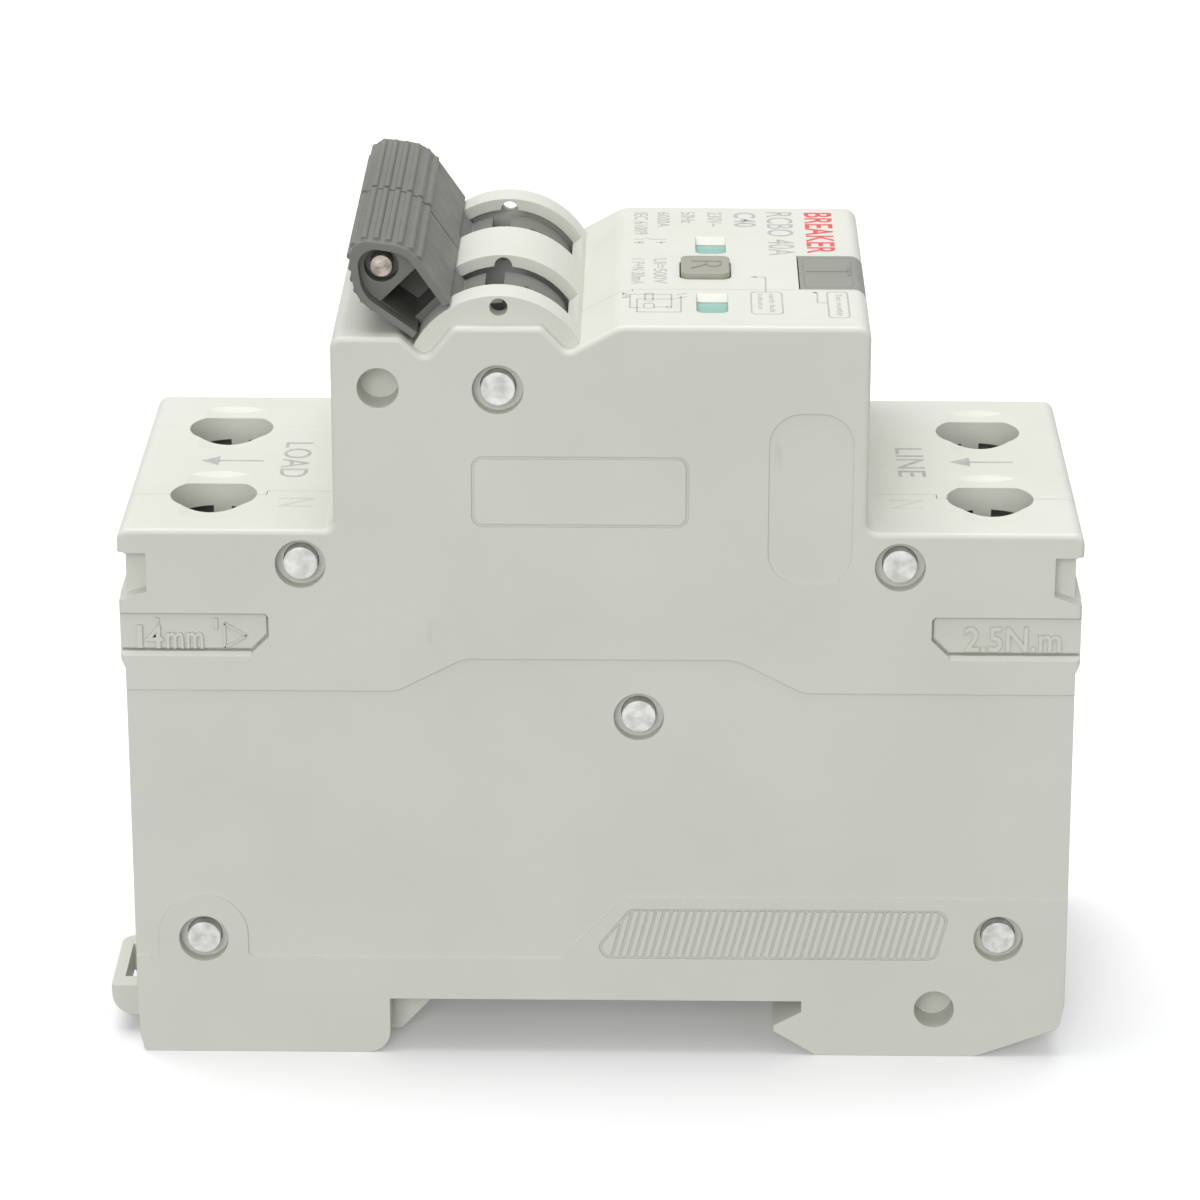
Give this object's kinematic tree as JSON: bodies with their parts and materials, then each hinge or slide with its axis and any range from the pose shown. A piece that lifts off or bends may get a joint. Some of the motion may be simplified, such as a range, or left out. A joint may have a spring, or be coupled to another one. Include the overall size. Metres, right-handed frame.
{
  "type": "residual current circuit breaker",
  "caption": "Two-module DIN-rail ground-fault (residual-current) circuit breaker with tied toggle levers, test and reset buttons, screw cage terminals and a sprung rail clip.",
  "frame": {"origin": "middle of the length and width on the rail seat, the plane where the rail's top face bears", "axes": "+X along the length towards the line terminals and away from the clip's pull tab, +Y across the two modules from the neutral pole to the phase pole, +Z out of the panel towards the levers"},
  "size_m": [0.084, 0.036, 0.074],
  "materials": {
    "casing": "fine matte moulded thermoset",
    "lever": "matte moulded grey",
    "test_button": "matte moulded grey",
    "reset_button": "matte moulded warm grey",
    "flag": "satin teal indicator",
    "mechanism": "natural moulded plastic",
    "fibre": "red vulcanised fibre board",
    "rivet": "upset rivet ends, rough bright",
    "pin": "bright steel pin",
    "zinc": "zinc plated steel",
    "spring": "bright spring wire",
    "copper": "bare copper",
    "silver": "silver contact",
    "winding": "enamelled copper winding",
    "core": "lacquered ring core",
    "board": "green laminate",
    "part_blue": "dipped epoxy",
    "part_black": "sleeved electrolytic",
    "part_tan": "lacquered resistor",
    "ink_grey": "pad-printed grey ink",
    "ink_red": "pad-printed red ink"
  },
  "bodies": {
    "casing": {"cover_near": "casing", "housing_middle": "casing", "cover_far": "casing", "rivets": "rivet", "fixed_contacts": "silver", "bimetal_strip": "zinc", "calibration_screw": "zinc", "magnet_yoke": "zinc", "magnet_coil": "winding", "arc_chute_plates": "zinc", "arc_chute_holder": "fibre", "current_transformer": "core", "circuit_board": "board", "board_varistor": "part_blue", "board_capacitor": "part_black", "board_resistors": "part_tan", "relay_frame": "zinc", "relay_coil": "winding", "test_contact_spring": "spring", "reset_spring": "spring", "clip_spring": "spring", "line_plate_neutral": "copper", "line_plate_phase": "copper", "contact_plate_neutral": "copper", "contact_plate_phase": "copper", "load_plate_neutral": "copper", "load_plate_phase": "copper", "conductor_neutral": "copper", "conductor_phase": "copper", "braid_neutral": "copper", "braid_phase": "copper"},
    "handles": {"lever_neutral": "lever", "lever_phase": "lever", "lever_tie_pin": "pin", "lever_spring_neutral": "spring", "lever_spring_phase": "spring"},
    "trip_bar": {"trip_bar": "mechanism"},
    "magnet_plunger": {"magnet_plunger": "pin"},
    "relay_plunger": {"relay_plunger": "pin"},
    "test_button": {"test_button": "test_button"},
    "reset_button": {"reset_button": "reset_button"},
    "rail_clip": {"rail_clip": "casing"},
    "link_neutral": {"link_neutral": "zinc"},
    "contact_neutral": {"carrier_neutral": "mechanism", "contact_arm_neutral": "copper", "contact_spring_neutral": "spring"},
    "flag_neutral": {"contact_flag_neutral": "flag"},
    "screw_load_neutral": {"screw_load_neutral": "zinc"},
    "cage_load_neutral": {"cage_load_neutral": "zinc"},
    "screw_line_neutral": {"screw_line_neutral": "zinc"},
    "cage_line_neutral": {"cage_line_neutral": "zinc"},
    "link_phase": {"link_phase": "zinc"},
    "contact_phase": {"carrier_phase": "mechanism", "contact_arm_phase": "copper", "contact_spring_phase": "spring"},
    "flag_phase": {"contact_flag_phase": "flag"},
    "screw_load_phase": {"screw_load_phase": "zinc"},
    "cage_load_phase": {"cage_load_phase": "zinc"},
    "screw_line_phase": {"screw_line_phase": "zinc"},
    "cage_line_phase": {"cage_line_phase": "zinc"}
  },
  "joints": [
    {"name": "handle_turn", "type": "hinge", "parent": "casing", "child": "handles", "pos_m": [-0.00855, 0, 0.0561], "axis": [0, 1, 0], "range_deg": [0, 80]},
    {"name": "link_neutral_turn", "type": "hinge", "parent": "handles", "child": "link_neutral", "pos_m": [-0.0056, -0.00925, 0.05558], "axis": [0, 1, 0], "range_deg": [-92, 0]},
    {"name": "contact_neutral_turn", "type": "hinge", "parent": "casing", "child": "contact_neutral", "pos_m": [0.0002, -0.00925, 0.038], "axis": [0, 1, 0], "range_deg": [-20.5, 0]},
    {"name": "flag_neutral_slide", "type": "slide", "parent": "casing", "child": "flag_neutral", "axis": [-1, 0, 0], "range_m": [0, 0.0034]},
    {"name": "link_phase_turn", "type": "hinge", "parent": "handles", "child": "link_phase", "pos_m": [-0.0056, 0.00805, 0.05558], "axis": [0, 1, 0], "range_deg": [-92, 0]},
    {"name": "contact_phase_turn", "type": "hinge", "parent": "casing", "child": "contact_phase", "pos_m": [0.0002, 0.00805, 0.038], "axis": [0, 1, 0], "range_deg": [-20.5, 0]},
    {"name": "flag_phase_slide", "type": "slide", "parent": "casing", "child": "flag_phase", "axis": [-1, 0, 0], "range_m": [0, 0.0034]},
    {"name": "relay_plunger_slide", "type": "slide", "parent": "casing", "child": "relay_plunger", "axis": [-1, 0, 0], "range_m": [0, 0.0014], "stiffness_N_per_m": 20, "springref_m": -0.0005},
    {"name": "trip_bar_turn", "type": "hinge", "parent": "casing", "child": "trip_bar", "pos_m": [0.0054, 0, 0.0445], "axis": [0, 1, 0], "range_deg": [0, 11]},
    {"name": "magnet_plunger_slide", "type": "slide", "parent": "casing", "child": "magnet_plunger", "axis": [-1, 0, 0], "range_m": [0, 0.0024], "stiffness_N_per_m": 25, "springref_m": -0.0005},
    {"name": "test_button_press", "type": "slide", "parent": "casing", "child": "test_button", "axis": [0, 0, -1], "range_m": [0, 0.0012], "stiffness_N_per_m": 900, "springref_m": -0.0008},
    {"name": "reset_button_press", "type": "slide", "parent": "casing", "child": "reset_button", "axis": [0, 0, -1], "range_m": [0, 0.0012], "stiffness_N_per_m": 900, "springref_m": -0.0008, "deforming": ["reset_spring"]},
    {"name": "rail_clip_slide", "type": "slide", "parent": "casing", "child": "rail_clip", "axis": [-1, 0, 0], "range_m": [0, 0.004], "stiffness_N_per_m": 2500, "springref_m": -0.001, "deforming": ["clip_spring"]},
    {"name": "screw_load_neutral_turn", "type": "hinge", "parent": "casing", "child": "screw_load_neutral", "pos_m": [-0.0334, -0.0089, 0.037], "axis": [0, 0, 1], "range_deg": [-2250, 0]},
    {"name": "cage_load_neutral_slide", "type": "slide", "parent": "casing", "child": "cage_load_neutral", "axis": [0, 0, 1], "range_m": [0, 0.005]},
    {"name": "screw_load_phase_turn", "type": "hinge", "parent": "casing", "child": "screw_load_phase", "pos_m": [-0.0334, 0.0089, 0.037], "axis": [0, 0, 1], "range_deg": [-2250, 0]},
    {"name": "cage_load_phase_slide", "type": "slide", "parent": "casing", "child": "cage_load_phase", "axis": [0, 0, 1], "range_m": [0, 0.005]},
    {"name": "screw_line_neutral_turn", "type": "hinge", "parent": "casing", "child": "screw_line_neutral", "pos_m": [0.0334, -0.0089, 0.037], "axis": [0, 0, 1], "range_deg": [-2250, 0]},
    {"name": "cage_line_neutral_slide", "type": "slide", "parent": "casing", "child": "cage_line_neutral", "axis": [0, 0, 1], "range_m": [0, 0.005]},
    {"name": "screw_line_phase_turn", "type": "hinge", "parent": "casing", "child": "screw_line_phase", "pos_m": [0.0334, 0.0089, 0.037], "axis": [0, 0, 1], "range_deg": [-2250, 0]},
    {"name": "cage_line_phase_slide", "type": "slide", "parent": "casing", "child": "cage_line_phase", "axis": [0, 0, 1], "range_m": [0, 0.005]}
  ],
  "couplings": [
    {"joint": "link_neutral_turn", "follows": "handle_turn", "ratio": -1.13},
    {"joint": "contact_neutral_turn", "follows": "handle_turn", "ratio": -0.25},
    {"joint": "flag_neutral_slide", "follows": "handle_turn", "m_per_rad": 0.0023634},
    {"joint": "link_phase_turn", "follows": "handle_turn", "ratio": -1.13},
    {"joint": "contact_phase_turn", "follows": "handle_turn", "ratio": -0.25},
    {"joint": "flag_phase_slide", "follows": "handle_turn", "m_per_rad": 0.0023634},
    {"joint": "trip_bar_turn", "follows": "relay_plunger_slide", "rad_per_m": 131.8},
    {"joint": "screw_load_neutral_turn", "follows": "cage_load_neutral_slide", "rad_per_m": -7854},
    {"joint": "screw_load_phase_turn", "follows": "cage_load_phase_slide", "rad_per_m": -7854},
    {"joint": "screw_line_neutral_turn", "follows": "cage_line_neutral_slide", "rad_per_m": -7854},
    {"joint": "screw_line_phase_turn", "follows": "cage_line_phase_slide", "rad_per_m": -7854}
  ]
}
